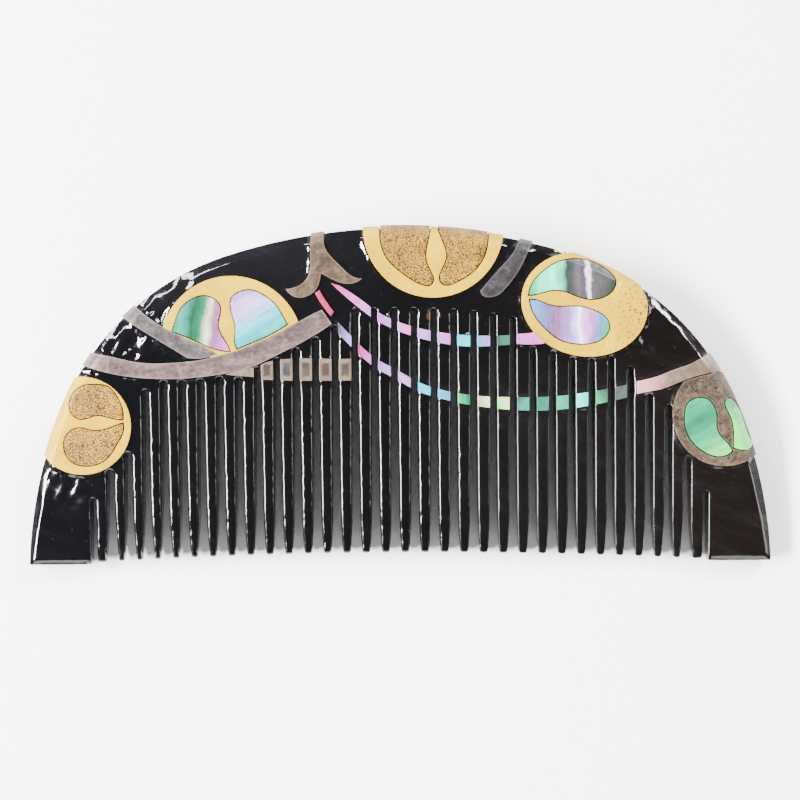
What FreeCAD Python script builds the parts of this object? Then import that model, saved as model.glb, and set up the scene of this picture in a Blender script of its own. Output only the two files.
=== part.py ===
import FreeCAD, Part
import math
import os
import Sketcher
from FreeCAD import Vector

# A half-moon hair comb: a lacquered wooden board with two guard teeth and 32 thin teeth, and raised
# gold, shell and pewter pieces set on its front face. The comb lies on its flat back: X runs along
# the length, Y from the tooth tips to the spine, Z out of the decorated front. Millimetres.
# Every outline is drawn with Y counted up from the ends of the guard teeth.

os.makedirs("parts", exist_ok=True)
doc = FreeCAD.newDocument("hair_comb")
dims = doc.addObject("Spreadsheet::Sheet", "dims")

VALUES = {
    "half_length": 50.0,         # from the middle of the comb to the foot of a guard tooth
    "height": 44.8,              # from the guard ends to the top of the spine
    "crown_radius": 76.0,        # top of the half-moon
    "crown_half": 22.97,         # half width of the crown arc
    "shoulder_radius": 36.0,
    "side_radius": 58.0,
    "spine_thick": 8.0,
    "end_thick": 3.2,            # thickness at the guard ends
    "bevel": 1.2,
    "pitch": 2.64,               # tooth pitch at the middle
    "pitch_shift": -0.61,        # the hand-cut row sits a little left of centre
    "pitch_skew": 0.0022,        # uneven cutting: wider steps to the right
    "pitch_ease": 0.000255,      # and closer steps towards both guards
    "gap_root": 0.74,            # gap width near the root
    "gap_neck": 1.12,            # gap width where the point of a tooth starts
    "gap_mouth": 1.64,           # gap width at the tooth tips
    "neck_level": 5.4,           # height where the point of a tooth starts
    "arch_width": 41.9,          # half width of the arched root line
    "arch_rise": 34.1,           # height of the arched root line
    "tip_rise": 1.32,            # the middle tooth tips stand this far above the guard ends
    "tip_thin": 0.85,            # cut off each face at the tooth tips
    "tip_run": 7.5,              # length over which the tips thin out
    "gold_rise": 0.30,           # how far the gold and pewter plates stand off the lacquer
    "shell_rise": 0.42,          # how far shell and sprinkled beans stand off the lacquer
    "inlay_floor": 1.30,         # the pieces that wrap over the rim stop here, above the back bevel
    "prism": 12.0,
    "line": 0.14,                # dark line left round each bean
    "disc_top": 9.35,
    "disc_upper_left": 9.56,
    "disc_lower_left": 6.58,
    "disc_right_long": 8.47,
    "disc_right_short": 6.91,
    "disc_medallion": 7.05,
}
for row, (alias, value) in enumerate(VALUES.items(), start=1):
    dims.set("A%d" % row, alias)
    dims.set("B%d" % row, str(value))
    dims.setAlias("B%d" % row, alias)
doc.recompute()

GAPS = 33
CENTRE = {
    "disc_top": (4.66, 44.85),
    "disc_upper_left": (-22.29, 28.99),
    "disc_lower_left": (-42.49, 18.75),
    "disc_right": (24.73, 34.51),
    "medallion": (43.57, 19.81),
}
DISC_TILT = -12.0                # the long axis of the right disc drops to the right


def val(alias):
    return float(dims.get(alias))


def body_plane(body, role):
    return next(f for f in body.Origin.OriginFeatures if f.Role == role)


def check(obj):
    bad = [s for s in obj.State if s in ("Invalid", "Error")]
    if bad or obj.Shape.isNull() or not obj.Shape.isValid():
        raise RuntimeError("%s did not build: %s" % (obj.Name, obj.State))
    return obj


def half_moon(grow):
    """Corner and centre points of the right half of the outline, made larger by grow."""
    top, half = val("height"), val("half_length")
    crown, shoulder, side = val("crown_radius"), val("shoulder_radius"), val("side_radius")
    lean = math.asin(val("crown_half") / crown)
    crown_mid = Vector(0, top - crown)
    shoulder_mid = crown_mid + Vector(math.sin(lean), math.cos(lean)) * (crown - shoulder)
    # the side arc touches the shoulder arc and ends at the guard foot
    reach = side - shoulder
    foot = Vector(half, 0) - shoulder_mid
    cosine = (foot.Length ** 2 + reach ** 2 - side ** 2) / (2 * foot.Length * reach)
    turn = math.atan2(foot.y, foot.x) - math.acos(cosine)
    side_mid = shoulder_mid + Vector(math.cos(turn), math.sin(turn)) * reach
    out = (shoulder_mid - side_mid).normalize()
    crown_end = crown_mid + Vector(math.sin(lean), math.cos(lean)) * (crown + grow)
    shoulder_end = side_mid + out * (side + grow)
    foot_y = -grow
    foot_x = side_mid.x + math.sqrt((side + grow) ** 2 - (foot_y - side_mid.y) ** 2)
    return crown_mid, shoulder_mid, side_mid, crown_end, shoulder_end, Vector(foot_x, foot_y)


def arc(mid, first, last):
    """Counter-clockwise arc from first to last."""
    start = math.atan2(first.y - mid.y, first.x - mid.x)
    end = math.atan2(last.y - mid.y, last.x - mid.x)
    if end < start:
        end += 2 * math.pi
    circle = Part.Circle(mid, Vector(0, 0, 1), (first - mid).Length)
    return Part.ArcOfCircle(circle, start, end)


def mirrored(point):
    return Vector(-point.x, point.y)


def draw_half_moon(sketch, rise):
    """Half-moon of five touching arcs over a straight foot; rise is the alias it grows by, or None."""
    grow = val(rise) if rise else 0.0
    crown, shoulder, side, crown_end, shoulder_end, foot = half_moon(grow)
    arcs = [
        arc(side, foot, shoulder_end),
        arc(shoulder, shoulder_end, crown_end),
        arc(crown, crown_end, mirrored(crown_end)),
        arc(mirrored(shoulder), mirrored(crown_end), mirrored(shoulder_end)),
        arc(mirrored(side), mirrored(shoulder_end), mirrored(foot)),
    ]
    for piece in arcs:
        sketch.addGeometry(piece)
    sketch.addGeometry(Part.LineSegment(mirrored(foot), foot))
    for i in range(4):
        sketch.addConstraint(Sketcher.Constraint("Tangent", i, 2, i + 1, 1))
    sketch.addConstraint(Sketcher.Constraint("Coincident", 4, 2, 5, 1))
    sketch.addConstraint(Sketcher.Constraint("Coincident", 5, 2, 0, 1))
    sketch.addConstraint(Sketcher.Constraint("Horizontal", 5))
    extra = " + dims." + rise if rise else ""
    for index, alias in ((2, "crown_radius"), (1, "shoulder_radius"), (0, "side_radius")):
        number = sketch.addConstraint(Sketcher.Constraint("Radius", index, arcs[index].Radius))
        sketch.setExpression("Constraints[%d]" % number, "dims." + alias + extra)
    return sketch


def new_sketch(body, name, role):
    sketch = body.newObject("Sketcher::SketchObject", name)
    sketch.AttachmentSupport = [(body_plane(body, role), "")]
    sketch.MapMode = "FlatFace"
    return sketch


def draw_loop(sketch, points):
    first = sketch.GeometryCount
    for a, b in zip(points, points[1:] + points[:1]):
        sketch.addGeometry(Part.LineSegment(a, b))
    count = len(points)
    for i in range(count):
        sketch.addConstraint(Sketcher.Constraint("Coincident", first + i, 2, first + (i + 1) % count, 1))


def cut_pocket(body, sketch, name, length=None, midplane=False):
    """Pocket that must take material away; through everything when no length is given."""
    before = body.Shape.Volume
    pocket = body.newObject("PartDesign::Pocket", name)
    pocket.Profile = sketch
    pocket.Type = 0 if length else 1
    if length:
        pocket.Length = length
    pocket.Midplane = midplane
    doc.recompute()
    if abs(body.Shape.Volume - before) < 1e-3 or "Invalid" in pocket.State:
        pocket.Reversed = True
        doc.recompute()
    check(pocket)
    if body.Shape.Volume > before - 1e-3:
        raise RuntimeError(name + " removed nothing")
    return pocket


def face_height(y, rise=0.0):
    """Height of the sloping front face above the flat back."""
    slope = (val("spine_thick") - val("end_thick")) / val("height")
    return val("end_thick") + slope * y + rise * math.sqrt(1 + slope ** 2)


def make_blank(name, rise=None):
    """Half-moon board, wedge-shaped from spine to guard ends, with a bevelled rim on both faces."""
    grow = val(rise) if rise else 0.0
    body = doc.addObject("PartDesign::Body", name)
    outline = draw_half_moon(new_sketch(body, name + "_outline", "XY_Plane"), rise)
    doc.recompute()
    board = body.newObject("PartDesign::Pad", name + "_board")
    board.Profile = outline
    extra = " + 2 * dims." + rise if rise else ""
    board.setExpression("Length", "dims.spine_thick + 1" + extra)
    doc.recompute()
    check(board)
    slope = new_sketch(body, name + "_slope", "YZ_Plane")
    low, high = -5.0, val("height") + 5.0
    draw_loop(slope, [
        Vector(low, face_height(low, grow)),
        Vector(high, face_height(high, grow)),
        Vector(high, 30.0),
        Vector(low, 30.0),
    ])
    doc.recompute()
    wedge = cut_pocket(body, slope, name + "_front", 4 * val("half_length"), midplane=True)
    front = max(body.Shape.Faces, key=lambda f: f.CenterOfMass.z)
    back = min(body.Shape.Faces, key=lambda f: f.CenterOfMass.z)
    names = []
    for i, edge in enumerate(body.Shape.Edges, start=1):
        if any(edge.isSame(e) for face in (front, back) for e in face.Edges):
            names.append("Edge%d" % i)
    rim = body.newObject("PartDesign::Chamfer", name + "_bevel")
    rim.Base = (wedge, names)
    extra = " + %.4f * dims.%s" % (2 - math.sqrt(2), rise) if rise else ""
    rim.setExpression("Size", "dims.bevel" + extra)
    body.Tip = rim
    doc.recompute()
    check(rim)
    return body


def gap_middle(k):
    """X of one saw cut; k counts from the left, 0 to 32."""
    n = k - (GAPS - 1) / 2
    row = val("pitch_shift") + val("pitch") * n
    return row + val("pitch_skew") * n ** 2 - val("pitch_ease") * n ** 3


def gap_width(y):
    """The cuts widen slowly down to the neck of the teeth, then quickly to the tips."""
    neck, top = val("neck_level"), val("arch_rise")
    if y > neck:
        part = (top - y) / (top - neck)
        return val("gap_root") + (val("gap_neck") - val("gap_root")) * max(part, 0.0)
    return val("gap_neck") + (val("gap_mouth") - val("gap_neck")) * (neck - y) / neck


def cut_width(k, y):
    """A guard has no point, so the two cuts beside the guards keep their root width all the way down."""
    return val("gap_root") if k in (0, GAPS - 1) else gap_width(y)


def along(points, x):
    """Height of a chain of points at x, or None where the chain does not reach."""
    for a, b in zip(points, points[1:]):
        low, high = min(a[0], b[0]), max(a[0], b[0])
        if low <= x <= high:
            return a[1] + (b[1] - a[1]) * (x - a[0]) / (b[0] - a[0])
    return None


def under_disc(centre, along_x, along_y, tilt, x):
    """Lowest point of a tilted ellipse at x, or None where it does not reach."""
    lean = math.radians(tilt)
    reach = math.hypot(along_x * math.cos(lean), along_y * math.sin(lean))
    dx = x - centre[0]
    if abs(dx) >= reach:
        return None
    shear = (along_x ** 2 - along_y ** 2) * math.sin(lean) * math.cos(lean) / reach ** 2
    drop = along_x * along_y / reach * math.sqrt(1 - (dx / reach) ** 2)
    return centre[1] + shear * dx - drop


# Outlines of the pieces. Each list holds runs: a run of two points is a straight edge, a longer run
# is a smooth curve, and runs meet at corners.
LONG_LOWER = [
    (-8.9, 32.1), (-11.1, 30.7), (-13.8, 29.2), (-16.7, 27.8), (-19.5, 26.5), (-23.1, 25.6),
    (-26.9, 25.1), (-31.3, 24.9), (-35.7, 25.2), (-38.6, 25.7), (-41.0, 26.4), (-46.0, 28.4),
]
LONG_UPPER = [
    (-44.0, 30.2), (-41.4, 28.6), (-38.6, 28.0), (-35.6, 27.3), (-32.7, 27.0), (-29.8, 27.1),
    (-26.7, 27.4), (-24.0, 28.0), (-21.5, 28.7), (-19.0, 29.7), (-16.2, 30.9), (-13.6, 32.3),
    (-10.2, 34.0),
]
WEDGE_LOWER = [(-23.2, 25.4), (-19.4, 25.1)]
BAND_LOWER = [(31.8, 22.5), (33.2, 22.8), (34.9, 23.1), (36.6, 23.7), (38.6, 24.5),
              (41.6, 25.3), (46.0, 26.0)]
BAND_UPPER = [(44.5, 29.4), (40.1, 27.1), (38.4, 26.3), (36.6, 25.7), (34.9, 25.0),
              (33.2, 24.5), (31.7, 24.2)]
UPPER_TOP = [(-3.6, 34.2), (-0.5, 32.5), (2.2, 31.6), (4.9, 31.0), (7.8, 30.6), (12.0, 30.4), (18.9, 30.8)]
UPPER_LOW = [(-3.6, 32.8), (-0.5, 31.3), (2.2, 30.3), (4.9, 29.6), (7.8, 29.1), (12.0, 29.0), (18.9, 29.5)]
LOWER_TOP = [
    (-8.6, 32.9), (-5.5, 29.6), (-2.8, 27.3), (-0.4, 26.0), (2.4, 24.4), (5.1, 23.4), (7.8, 22.8),
    (10.6, 22.4), (15.0, 22.2), (21.0, 22.3), (24.5, 22.7), (28.1, 23.3), (33.4, 24.5),
]
LOWER_LOW = [
    (-8.6, 31.4), (-5.5, 28.2), (-2.8, 26.0), (-0.4, 24.7), (2.4, 23.1), (5.1, 22.2), (7.8, 21.5),
    (10.6, 21.0), (15.0, 20.5), (20.0, 20.4), (23.5, 20.7), (28.1, 21.5), (33.4, 22.8),
]
LINKS_TOP = [(-19.4, 26.2), (-17.5, 27.1), (-15.0, 27.5), (-10.0, 27.5), (-5.9, 27.5)]
LINKS_LOW = [(-19.4, 24.8), (-17.5, 24.7), (-15.0, 24.6), (-10.0, 24.55), (-5.9, 24.55)]
LAST_TILE_LOWER = [(15.7, 29.3), (17.0, 29.2), (19.4, 29.3)]
STRAND_ENDS = {
    "upper_strand_tile_01": [
        [(-9.0, 37.5), (-7.9, 37.2)],
        [(-7.9, 37.2), (-5.7, 35.8), (-3.7, 34.3)],
        [(-3.7, 34.3), (-3.7, 33.0)],
        [(-3.7, 33.0), (-6.1, 34.9), (-9.0, 37.5)],
    ],
    "upper_strand_tile_09": [
        [(15.7, 30.6), (15.7, 29.3)],
        LAST_TILE_LOWER,
        [(19.4, 29.3), (19.4, 31.0)],
        [(19.4, 31.0), (17.6, 30.75), (15.7, 30.6)],
    ],
    "lower_strand_tile_01": [
        [(-11.1, 36.2), (-10.5, 36.6)],
        [(-10.5, 36.6), (-9.5, 34.9), (-8.6, 33.7)],
        [(-8.6, 33.7), (-9.0, 33.1)],
        [(-9.0, 33.1), (-10.1, 34.5), (-11.1, 36.2)],
    ],
}


PEWTER = {
    "ribbon_long": [LONG_UPPER, [LONG_UPPER[-1], LONG_LOWER[0]], LONG_LOWER, [LONG_LOWER[-1], LONG_UPPER[0]]],
    "ribbon_short": [
        [(-39.5, 35.4), (-36.8, 33.2), (-34.4, 31.5), (-31.0, 29.4), (-28.3, 27.7)],
        [(-28.3, 27.7), (-26.7, 27.6), (-24.2, 28.2)],
        [(-24.2, 28.2), (-25.9, 29.2), (-28.5, 30.4), (-31.3, 31.8), (-35.2, 34.7), (-38.0, 37.4)],
        [(-38.0, 37.4), (-39.5, 35.4)],
    ],
    "ribbon_wedge": [
        [(-23.1, 25.45), (-19.4, 25.1)],
        [(-19.4, 25.1), (-19.4, 26.4)],
        [(-19.4, 26.4), (-21.3, 25.95), (-23.1, 25.5)],
        [(-23.1, 25.5), (-23.1, 25.45)],
    ],
    "stem_forked": [
        [(-11.7, 47.0), (-11.6, 44.2), (-11.7, 41.7), (-11.8, 39.2), (-12.3, 38.0),
         (-13.3, 37.2), (-15.0, 36.8)],
        [(-15.0, 36.8), (-14.5, 36.1), (-13.4, 35.6), (-12.1, 35.8), (-11.0, 36.6),
         (-10.5, 37.6), (-10.3, 38.8)],
        [(-10.3, 38.8), (-9.4, 38.3), (-7.9, 37.6), (-6.3, 37.4), (-4.8, 38.1)],
        [(-4.8, 38.1), (-6.3, 38.5), (-7.6, 39.7), (-8.9, 41.0), (-9.7, 42.2), (-9.9, 44.2), (-9.8, 47.0)],
        [(-9.8, 47.0), (-11.7, 47.0)],
    ],
    "leaf_right": [
        [(17.6, 45.5), (16.1, 43.1), (15.1, 41.2), (13.6, 39.5), (11.9, 37.6), (10.9, 36.4)],
        [(10.9, 36.4), (11.1, 35.8), (12.3, 35.5), (13.6, 36.0)],
        [(13.6, 36.0), (14.9, 37.4), (16.2, 39.3), (17.0, 40.9), (17.8, 42.7), (19.2, 44.9)],
        [(19.2, 44.9), (17.6, 45.5)],
    ],
    "band_right": [
        BAND_UPPER,
        [BAND_UPPER[-1], BAND_LOWER[0]],
        BAND_LOWER,
        [BAND_LOWER[-1], BAND_UPPER[0]],
    ],
}

ABOVE_RIBBONS = [
    [(-42.0, 46.0), (-39.0, 36.2)],
    [(-39.0, 36.2), (-35.0, 33.2), (-31.2, 30.7), (-28.4, 29.1), (-25.6, 28.1), (-24.0, 26.9),
     (-21.5, 27.4),
     (-19.0, 28.3), (-16.2, 29.5), (-13.0, 31.2), (-9.5, 33.0)],
    [(-9.5, 33.0), (-6.0, 46.0)],
    [(-6.0, 46.0), (-42.0, 46.0)],
]

TOP_BEANS = {
    "bean_top_left": [
        [(-2.4, 47.5), (-2.4, 44.6), (-2.2, 42.6), (-1.4, 40.7), (0.1, 39.2), (1.6, 38.1), (2.9, 37.4),
         (4.3, 37.3), (4.6, 37.8), (4.4, 38.6), (3.8, 39.9), (3.6, 41.3), (3.9, 43.0),
         (4.2, 44.6), (4.2, 47.5)],
        [(4.2, 47.5), (-2.4, 47.5)],
    ],
    "bean_top_right": [
        [(5.4, 47.5), (5.4, 44.6), (6.0, 42.9), (6.5, 41.3), (6.2, 39.9), (5.6, 38.6), (5.6, 37.7),
         (6.0, 37.3), (7.7, 37.6), (9.6, 38.7), (10.9, 40.1), (11.7, 42.0), (11.9, 44.1), (11.9, 47.5)],
        [(11.9, 47.5), (5.4, 47.5)],
    ],
}
LOWER_LEFT_BEANS = {
    "bean_lower_left_upper": [
        [(-37.0, 19.6), (-38.1, 19.7), (-39.2, 20.0), (-40.4, 20.2), (-41.5, 19.9),
         (-42.7, 19.7), (-43.7, 20.4),
         (-44.1, 21.7), (-43.5, 23.2), (-42.0, 24.1), (-40.6, 24.2), (-38.9, 23.9),
         (-37.7, 22.5), (-37.1, 21.1),
         (-37.0, 19.6)],
    ],
    "bean_lower_left_lower": [
        [(-37.0, 19.0), (-37.1, 17.7), (-38.0, 16.1), (-39.0, 14.6), (-40.3, 13.7),
         (-41.7, 13.4), (-43.2, 13.6),
         (-44.4, 14.5), (-44.9, 15.9), (-44.6, 17.3), (-43.7, 18.2), (-42.5, 18.4),
         (-41.3, 18.1), (-39.8, 18.1),
         (-38.5, 18.5), (-37.0, 19.0)],
    ],
}
UPPER_LEFT_BEANS = {
    "bean_upper_left_left": [
        [(-30.1, 31.2), (-29.6, 32.8), (-28.7, 34.5), (-27.4, 35.5), (-25.9, 35.9),
         (-24.6, 35.5), (-23.8, 34.6),
         (-23.8, 33.5), (-24.1, 32.1), (-23.7, 30.8), (-23.0, 29.6), (-22.5, 28.6)],
        [(-22.5, 28.6), (-25.4, 29.25), (-28.0, 30.45), (-30.1, 31.2)],
    ],
    "bean_upper_left_right": [
        [(-22.3, 34.6), (-21.9, 35.9), (-20.8, 36.5), (-19.5, 36.6), (-17.9, 35.9),
         (-16.6, 34.9), (-15.7, 33.6),
         (-14.9, 32.1)],
        [(-14.9, 32.1), (-17.0, 30.85), (-19.0, 29.95), (-21.5, 28.95)],
        [(-21.5, 28.95), (-21.8, 30.2), (-21.7, 31.9), (-22.1, 33.4), (-22.3, 34.6)],
    ],
}
RIGHT_BEANS = {
    "bean_right_upper": [
        [(17.4, 35.8), (17.8, 37.2), (19.3, 38.9), (21.3, 40.1), (23.8, 40.5), (25.9, 40.1), (27.8, 39.0),
         (28.8, 37.6), (28.4, 36.3), (27.3, 35.5), (25.8, 35.2), (23.8, 35.6), (22.0, 36.3), (20.3, 36.4),
         (18.8, 36.0), (17.4, 35.8)],
    ],
    "bean_right_lower": [
        [(17.5, 35.1), (18.5, 35.0), (19.7, 34.5), (21.0, 34.2), (22.6, 34.2), (24.5, 34.1), (26.3, 33.5),
         (27.6, 32.6), (28.0, 31.4), (27.4, 30.2), (25.8, 29.4), (23.7, 29.3), (21.4, 29.9), (19.5, 31.4),
         (18.1, 33.2), (17.5, 35.1)],
    ],
}
MEDALLION_BEANS = {
    "bean_medallion_left": [
        [(44.5, 14.8), (43.8, 15.9), (42.8, 17.0), (42.4, 18.2), (42.4, 19.5), (42.0, 20.8), (41.2, 21.7),
         (39.9, 21.9), (38.6, 21.2), (38.2, 19.7), (38.4, 17.6), (39.3, 16.0), (40.9, 14.7), (42.7, 14.1),
         (44.5, 14.8)],
    ],
    "bean_medallion_right": [
        [(43.6, 21.5), (44.4, 21.8), (45.0, 21.3), (46.2, 18.9), (47.4, 16.0)],
        [(47.4, 16.0), (47.3, 15.4), (45.7, 15.0), (44.8, 15.3)],
        [(44.8, 15.3), (44.8, 16.8), (44.7, 18.2), (44.2, 19.7), (43.7, 20.7), (43.6, 21.5)],
    ],
}


def cover_low(x):
    """Lower edge of whatever plate lies over the roots of the teeth at x."""
    right = CENTRE["disc_right"]
    levels = [
        along(LONG_LOWER, x),
        along(WEDGE_LOWER, x),
        along(BAND_LOWER, x),
        along(LAST_TILE_LOWER, x) if x > 17.0 else None,
        under_disc(CENTRE["disc_lower_left"], val("disc_lower_left"), val("disc_lower_left"), 0, x),
        under_disc(CENTRE["medallion"], val("disc_medallion"), val("disc_medallion"), 0, x),
        under_disc(right, val("disc_right_long"), val("disc_right_short"), DISC_TILT, x),
    ]
    return min([level - 0.3 for level in levels if level is not None], default=val("height"))


def root_level(x):
    """A saw cut runs up to the arched root line, but stops short of a plate that lies over it."""
    half = min(abs(x) / val("arch_width"), 0.99)
    arch = val("arch_rise") * (1 - half ** 2.45) ** (1 / 2.45)
    return min([arch] + [cover_low(x + side) for side in (-0.4, 0.0, 0.4)])


def draw_gap(sketch, k):
    """One saw cut: a round-ended slot that widens in two steps down past the tips."""
    x, top = gap_middle(k), root_level(gap_middle(k))
    neck, half = val("neck_level"), cut_width(k, root_level(gap_middle(k))) / 2
    low = -1.5
    right = [Vector(x + half, top - half), Vector(x + cut_width(k, neck) / 2, neck),
             Vector(x + cut_width(k, low) / 2, low)]
    left = [Vector(2 * x - p.x, p.y) for p in reversed(right)]
    first = sketch.GeometryCount
    chain = right + left
    for a, b in zip(chain, chain[1:]):
        sketch.addGeometry(Part.LineSegment(a, b))
    sketch.addGeometry(arc(Vector(x, top - half), right[0], left[-1]))
    for i in range(4):
        sketch.addConstraint(Sketcher.Constraint("Coincident", first + i, 2, first + i + 1, 1))
    sketch.addConstraint(Sketcher.Constraint("Coincident", first + 4, 2, first + 5, 2))
    sketch.addConstraint(Sketcher.Constraint("Coincident", first + 5, 1, first, 1))


def cut_teeth(body):
    """Saw the gaps, arch the row of tips and thin the tips on both faces."""
    gaps = new_sketch(body, "saw_cuts", "XY_Plane")
    for k in range(GAPS):
        draw_gap(gaps, k)
    doc.recompute()
    cut_pocket(body, gaps, "gaps")
    left, right = gap_middle(0), gap_middle(GAPS - 1)
    ends = new_sketch(body, "tip_line", "XY_Plane")
    rise = val("tip_rise")
    middle = (left + right) / 2
    ends.addGeometry(Part.Arc(Vector(left, 0.2), Vector(middle, rise), Vector(right, 0.2)))
    start, end = Vector(left, -1.0), Vector(right, -1.0)
    for a, b in ((Vector(right, 0.2), end), (end, start), (start, Vector(left, 0.2))):
        ends.addGeometry(Part.LineSegment(a, b))
    doc.recompute()
    cut_pocket(body, ends, "tip_row")
    thin, run = val("tip_thin"), val("tip_run")
    sides = new_sketch(body, "tip_faces", "YZ_Plane")
    draw_loop(sides, [Vector(-1, -1), Vector(-1, thin + 0.12), Vector(run, 0), Vector(run, -1)])
    front, back = face_height(-1), face_height(run)
    draw_loop(sides, [Vector(-1, front + 1), Vector(run, back + 1),
                      Vector(run, back), Vector(-1, front - thin - 0.12)])
    doc.recompute()
    cut_pocket(body, sides, "tip_bevels", right - left, midplane=True)
    body.Tip = body.Group[-1]


def finish(obj, label):
    """Give a finished piece its node name and move the origin to the middle of the footprint."""
    obj.Label = label
    obj.setExpression("Placement.Base.y", "-(dims.height + dims.shell_rise) / 2")
    doc.recompute()
    return check(obj)


def plate_sketch(name, runs):
    """Closed outline of a flat piece from its runs of points."""
    sketch = doc.addObject("Sketcher::SketchObject", name + "_outline")
    for run in runs:
        points = [Vector(x, y) for x, y in run]
        if len(points) == 2:
            sketch.addGeometry(Part.LineSegment(points[0], points[1]))
            continue
        curve = Part.BSplineCurve()
        curve.interpolate(points)
        sketch.addGeometry(curve)
    return sketch


def round_sketch(name, centre, radius, short=None):
    """Circle, or a tilted ellipse when a short radius is given; the radii come from the sheet."""
    sketch = doc.addObject("Sketcher::SketchObject", name + "_outline")
    mid = Vector(centre[0], centre[1])
    if short is None:
        sketch.addGeometry(Part.Circle(mid, Vector(0, 0, 1), val(radius)))
        number = sketch.addConstraint(Sketcher.Constraint("Radius", 0, val(radius)))
        sketch.setExpression("Constraints[%d]" % number, "dims." + radius)
        return sketch
    lean = math.radians(DISC_TILT)
    long_end = mid + Vector(math.cos(lean), math.sin(lean)) * val(radius)
    short_end = mid + Vector(-math.sin(lean), math.cos(lean)) * val(short)
    sketch.addGeometry(Part.Ellipse(long_end, short_end, mid))
    return sketch


def prism(name, sketch):
    """Upright prism over a closed sketch."""
    solid = doc.addObject("Part::Extrusion", name + "_prism")
    solid.Base = sketch
    solid.DirMode = "Custom"
    solid.Dir = Vector(0, 0, 1)
    solid.setExpression("LengthFwd", "dims.prism")
    solid.Solid = True
    doc.recompute()
    return check(solid)


def widened(runs):
    """The same runs moved outwards by the width of the dark line, with mitred corners."""
    loop = [Vector(x, y) for run in runs for x, y in run[:-1]]
    count = len(loop)
    area = sum(loop[i].x * loop[(i + 1) % count].y - loop[(i + 1) % count].x * loop[i].y
               for i in range(count))
    turn = 1 if area > 0 else -1
    moved = []
    for i, point in enumerate(loop):
        before = (point - loop[i - 1]).normalize()
        after = (loop[(i + 1) % count] - point).normalize()
        out = Vector(before.y + after.y, -before.x - after.x) * turn
        mitre = min(2 / max(out.Length ** 2, 0.01), 1.6)
        moved.append(point + out * (mitre * val("line")))
    wide, start = [], 0
    for run in runs:
        size = len(run)
        picked = [moved[(start + i) % count] for i in range(size)]
        wide.append([(p.x, p.y) for p in picked])
        start += size - 1
    return wide


def meet(name, shapes):
    both = doc.addObject("Part::MultiCommon", name)
    both.Shapes = shapes
    doc.recompute()
    return check(both)


def take(name, base, tool):
    rest = doc.addObject("Part::Cut", name)
    rest.Base = base
    rest.Tool = tool
    doc.recompute()
    return check(rest)


def stretch(name, x, y, wide):
    """Upright box that keeps the part of a row lying on one tooth."""
    box = doc.addObject("Part::Box", name)
    box.Length = wide
    box.Width = 12
    box.setExpression("Height", "dims.prism")
    box.Placement.Base = Vector(x, y, 0)
    return box


def make_layer(name, rise, blank):
    """Skin between the board and a slightly larger board: where raised pieces can lie."""
    larger = make_blank(name + "_body", rise)
    above = doc.addObject("Part::Box", name + "_above")
    above.Length = 140
    above.Width = 80
    above.setExpression("Height", "dims.prism")
    above.setExpression("Placement.Base.z", "dims.inlay_floor")
    above.Placement.Base.x = -70
    above.Placement.Base.y = -20
    return take(name, meet(name + "_upper", [larger, above]), blank)


pieces = []


def keep(obj, label):
    pieces.append(finish(obj, label))


def trimmed(obj, tools):
    for tool in tools:
        obj = take(obj.Name + "_less_" + tool.Name, obj, tool)
    return obj


def lay(name, runs, layer, tools=()):
    """Lay one plate on the board and trim it round the pieces that cover it."""
    keep(trimmed(meet(name + "_plate", [prism(name, plate_sketch(name, runs)), layer]), tools), name)


def lay_disc(name, sketch, beans, low, high, tools=(), side=None):
    """A plate with bean-shaped windows, and a bean in each window with a dark line round it."""
    shapes = [prism(name, sketch), low] + ([side] if side else [])
    plate = trimmed(meet(name + "_plate", shapes), tools)
    for bean, runs in beans.items():
        window = plate_sketch(bean + "_window", widened(runs))
        plate = take(name + "_round_" + bean, plate, prism(bean + "_window", window))
        keep(meet(bean + "_solid", [prism(bean, plate_sketch(bean, runs)), high]), bean)
    keep(plate, name)


def tile_row(name, top, low, gaps, start, layer, tools=()):
    """A curved row of tiles, one to each tooth between the given first and last gap."""
    runs = [top, [top[-1], low[-1]], list(reversed(low)), [low[0], top[0]]]
    row = trimmed(meet(name + "_row", [prism(name, plate_sketch(name, runs)), layer]), tools)
    for k in range(gaps[0], gaps[1]):
        level = along(low, max(gap_middle(k), low[0][0]))
        half = gap_width(level) / 2 + 0.04
        left, right = gap_middle(k) + half, gap_middle(k + 1) - half
        node = "%s_%02d" % (name, k - gaps[0] + start)
        keep(meet(node + "_tile", [row, stretch(node + "_tooth", left, level - 5, right - left)]), node)


blank = make_blank("blank")
low_layer = make_layer("low_layer", "gold_rise", blank)
high_layer = make_layer("high_layer", "shell_rise", blank)

comb = make_blank("comb")
cut_teeth(comb)
keep(comb, "comb_body")

long_cover = prism("long_cover", plate_sketch("long_cover", PEWTER["ribbon_long"]))
short_cover = prism("short_cover", plate_sketch("short_cover", PEWTER["ribbon_short"]))
band_cover = prism("band_cover", plate_sketch("band_cover", widened(PEWTER["band_right"])))
gold_side = prism("gold_side", plate_sketch("gold_side", ABOVE_RIBBONS))
right_disc = round_sketch("disc_right", CENTRE["disc_right"], "disc_right_long", "disc_right_short")
right_cover = prism("right_cover", right_disc)

for plate, plate_runs in PEWTER.items():
    covers = [long_cover] if plate in ("ribbon_short", "ribbon_wedge") else []
    lay(plate, plate_runs, low_layer, covers)

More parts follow.
